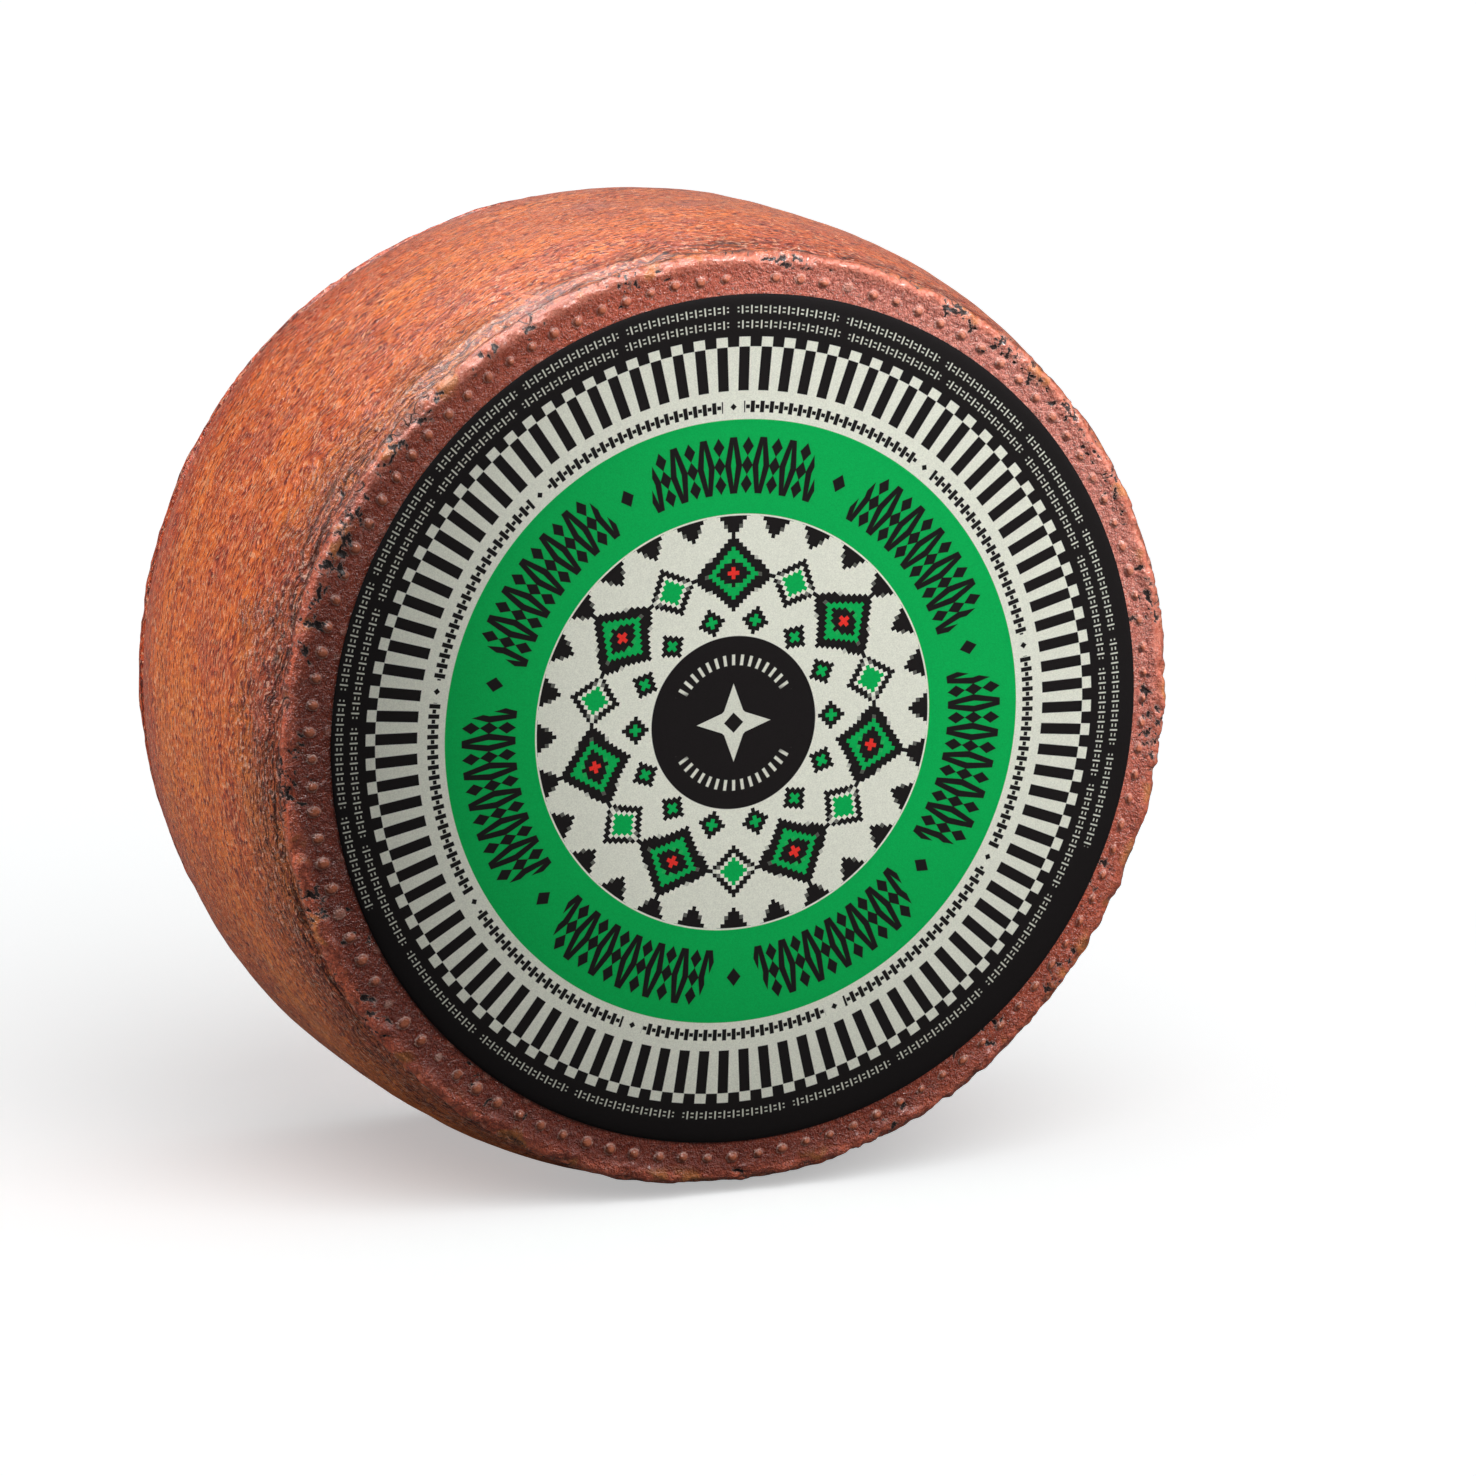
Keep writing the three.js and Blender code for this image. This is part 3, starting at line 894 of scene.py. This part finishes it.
    place = s.vector(right * LABEL_RADIUS, up * LABEL_RADIUS, back)
    speck = s.noise(place, 3.4, 2.0, 0.7)
    mottle = s.noise(place, 0.9, 3.0, 0.6)
    colour = mix(is_green, PAPER, GREEN)
    colour = mix(is_red, colour, RED)
    colour = mix(is_black, colour, BLACK)
    shade = (speck - 0.5) * 0.55 + (mottle - 0.5) * 0.12 + 1.0
    hue = s.tree.nodes.new("ShaderNodeHueSaturation")
    connect(s.tree, shade, hue.inputs["Value"])
    connect(s.tree, colour, hue.inputs["Color"])
    s.set(Base_Color=Field(s.tree, hue.outputs[0]))
    s.bump(speck * 0.03 + mottle * 0.02)
    s.shader.inputs["Roughness"].default_value = 0.8
    s.shader.inputs["Specular IOR Level"].default_value = 0.12
    return s.material


# The studio

FLOOR_SEEN = (0.925, 0.95, 0.956)
FLOOR_SENT_BACK = (0.21, 0.21, 0.21)  # its colour for light that it sends on to the wheel
FLOOR_GLOW = 0.42  # seen by the camera alone
SKY_SEEN = (1.0, 1.0, 1.0)
SKY_SHED = (0.04, 0.04, 0.04)
FLOOR_HALF = 12.0  # in metres


def floor_material():
    """A pale floor that looks white, and sends little light back up."""
    material = bpy.data.materials.new("pale_floor")
    material.use_nodes = True
    tree = material.node_tree
    shader = tree.nodes["Principled BSDF"]
    shader.inputs["Roughness"].default_value = 0.9
    seen = Field(tree, tree.nodes.new("ShaderNodeLightPath").outputs["Is Camera Ray"])
    connect(tree, mix(seen, FLOOR_SENT_BACK, FLOOR_SEEN), shader.inputs["Base Color"])
    shader.inputs["Specular IOR Level"].default_value = 0.0
    shader.inputs["Emission Color"].default_value = (1, 1, 1, 1)
    connect(tree, seen * FLOOR_GLOW, shader.inputs["Emission Strength"])
    return material


def make_floor():
    mesh = bpy.data.meshes.new("floor")
    h = FLOOR_HALF
    corners = [(-h, -h, 0), (h, -h, 0), (h, h, 0), (-h, h, 0)]
    mesh.from_pydata(corners, [], [(0, 1, 2, 3)])
    obj = bpy.data.objects.new("floor", mesh)
    bpy.context.scene.collection.objects.link(obj)
    mesh.materials.append(floor_material())
    return obj


def make_world():
    world = bpy.data.worlds.new("studio")
    bpy.context.scene.world = world
    world.use_nodes = True
    tree = world.node_tree
    background = tree.nodes["Background"]
    seen = Field(tree, tree.nodes.new("ShaderNodeLightPath").outputs["Is Camera Ray"])
    connect(tree, mix(seen, SKY_SHED, SKY_SEEN), background.inputs["Color"])


def floor_group(name, link_state):
    """A group that makes a light fall on the floor alone, or on all but the floor."""
    group = bpy.data.collections.new(name)
    group.objects.link(floor)
    group.collection_objects[0].light_linking.link_state = link_state
    return group


def light_up(light, receivers):
    """Limits a light to what a group lets it fall on, and hides the light itself from the camera."""
    light.light_linking.receiver_collection = receivers
    light.visible_camera = False


def area_light(name, place, size, power):
    """A square soft light that faces the wheel's centre. Its place is given from there, in metres."""
    data = bpy.data.lights.new(name, "AREA")
    data.size = size
    data.energy = power
    obj = bpy.data.objects.new(name, data)
    bpy.context.scene.collection.objects.link(obj)
    obj.location = wheel_centre + Vector(place)
    obj.rotation_euler = (-Vector(place)).to_track_quat("-Z", "Y").to_euler()
    return obj


def soft_sun(name, direction, strength, degrees):
    """Even light from a wide disc of sky, without gloss. Its direction is the one that it comes from."""
    data = bpy.data.lights.new(name, "SUN")
    data.energy = strength
    data.angle = math.radians(degrees)
    obj = bpy.data.objects.new(name, data)
    obj.visible_glossy = False
    bpy.context.scene.collection.objects.link(obj)
    obj.rotation_euler = (-Vector(direction)).to_track_quat("-Z", "Y").to_euler()
    return obj


def spot_light(name, place, aim, power, radius, degrees, blend):
    """A lamp with a soft cone. Its place and aim are given from the wheel's centre, in metres."""
    data = bpy.data.lights.new(name, "SPOT")
    data.energy = power
    data.shadow_soft_size = radius
    data.spot_size = math.radians(degrees)
    data.spot_blend = blend
    obj = bpy.data.objects.new(name, data)
    bpy.context.scene.collection.objects.link(obj)
    obj.location = wheel_centre + Vector(place)
    obj.rotation_euler = (Vector(aim) - Vector(place)).to_track_quat("-Z", "Y").to_euler()
    return obj


# The photograph's frame, in its own pixels, and how the camera stands to the wheel
FRAME = 1476
RADIUS_PIXELS = 487.3  # the wheel's radius, as far from the camera as its widest place's centre
CENTRE_PIXEL = (654.0, 679.9)  # that centre
VIEW_AZIMUTH = math.radians(-21.3)
VIEW_ELEVATION = math.radians(11.5)
VIEW_DISTANCE = 2.0  # in metres


def make_camera():
    a, e = VIEW_AZIMUTH, VIEW_ELEVATION
    to_camera = Vector((math.sin(a) * math.cos(e), -math.cos(a) * math.cos(e), math.sin(e)))
    right = Vector((math.cos(a), math.sin(a), 0))
    up = to_camera.cross(right)
    metres_per_pixel = WHEEL_RADIUS * MM / RADIUS_PIXELS
    target = wheel_centre + right * (FRAME / 2 - CENTRE_PIXEL[0]) * metres_per_pixel
    target -= up * (FRAME / 2 - CENTRE_PIXEL[1]) * metres_per_pixel
    data = bpy.data.cameras.new("camera")
    data.lens = data.sensor_width * VIEW_DISTANCE / (FRAME * metres_per_pixel)
    data.clip_end = 100
    camera = bpy.data.objects.new("camera", data)
    bpy.context.scene.collection.objects.link(camera)
    camera.location = wheel_centre + to_camera * VIEW_DISTANCE
    camera.rotation_euler = (target - camera.location).to_track_quat("-Z", "Y").to_euler()
    bpy.context.scene.camera = camera


make_camera()
make_world()
floor = make_floor()
key = spot_light("key", (0.45, -0.95, 0.75), (0.053, -0.046, 0.053), 52.0, 0.03, 12.8, 0.9)
sky = soft_sun("sky", (0.35, -0.3, 1.0), 0.95, 70)
upper_left = soft_sun("upper_left", (-0.6, 0.35, 0.8), 2.45, 50)
behind = soft_sun("behind", (0.15, 0.55, 1.0), 0.20, 60)
left = area_light("left", (-1.1, 0.15, 0.65), 0.3, 0.95)
low_left = area_light("low_left", (-1.15, 0.1, 0.0), 0.2, 3.4)
back = area_light("back", (0.55, 1.2, 0.36), 0.7, 0.3)
right = area_light("right", (1.1, -0.4, 0.5), 0.5, 2.4)
front_top = area_light("front_top", (-0.20, -0.10, 0.95), 0.9, 24.0)
top = area_light("top", (-0.15, 0.3, 0.9), 0.5, 2.6)
low_left.visible_glossy = False
front_top.visible_diffuse = False  # this one and the next make gloss alone
top.visible_diffuse = False
all_but_floor = floor_group("all_but_floor", "EXCLUDE")
for light in (key, sky, upper_left, behind, left, low_left, back, right, front_top, top):
    light_up(light, all_but_floor)
floor_alone = floor_group("floor_alone", "INCLUDE")
light_up(soft_sun("floor_above", (0.08, -0.3, 1.0), 1.05, 110), floor_alone)
light_up(soft_sun("floor_front", (0.05, -1.0, 1.0), 1.3, 60), floor_alone)
bpy.context.scene.view_settings.view_transform = "Standard"

wheel = make_wheel()
wheel.data.materials.append(rind_material())
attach(wheel, "root")
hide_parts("wheel")

label = make_label()
label.data.materials.append(label_material())
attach(label, "root")
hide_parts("label")
